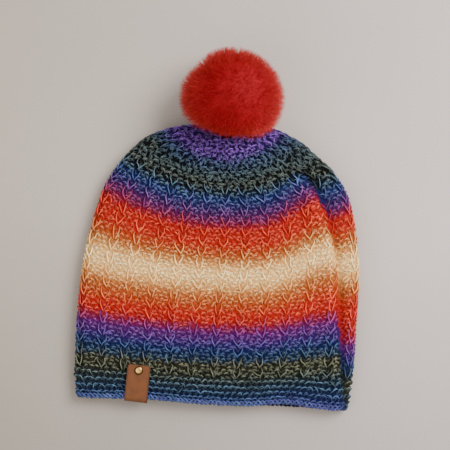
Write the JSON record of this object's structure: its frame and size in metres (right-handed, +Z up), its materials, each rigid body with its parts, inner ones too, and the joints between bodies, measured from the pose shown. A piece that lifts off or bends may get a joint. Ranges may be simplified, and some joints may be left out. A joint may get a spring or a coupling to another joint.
{
  "type": "winter hat",
  "caption": "Crocheted winter hat laid flat, with a fur pompom at the crown and a folded leather tag riveted to the hem.",
  "frame": {"origin": "middle of the outline seen from above, on the surface that the hat lies on", "axes": "+Y from the hem to the pompom, +X to the right, +Z up from the surface, with the tag on the upper layer"},
  "size_m": [0.2496, 0.3146, 0.0846],
  "materials": {
    "patterned_yarn": "self-striping yarn in red, orange, cream, purple, blue and olive rounds",
    "hem_yarn": "dark slate and blue yarn",
    "edge_yarn": "blue yarn",
    "fur": "long red fur",
    "tie_yarn": "purple yarn",
    "tag_leather": "smooth tan leather, darker at the edges",
    "rivet_brass": "polished brass"
  },
  "bodies": {
    "root": {"crown": "patterned_yarn", "brim": "hem_yarn", "edging": "edge_yarn", "pompom": "fur", "pompom_tie": "tie_yarn", "tag": "tag_leather", "rivet": "rivet_brass"}
  },
  "joints": []
}
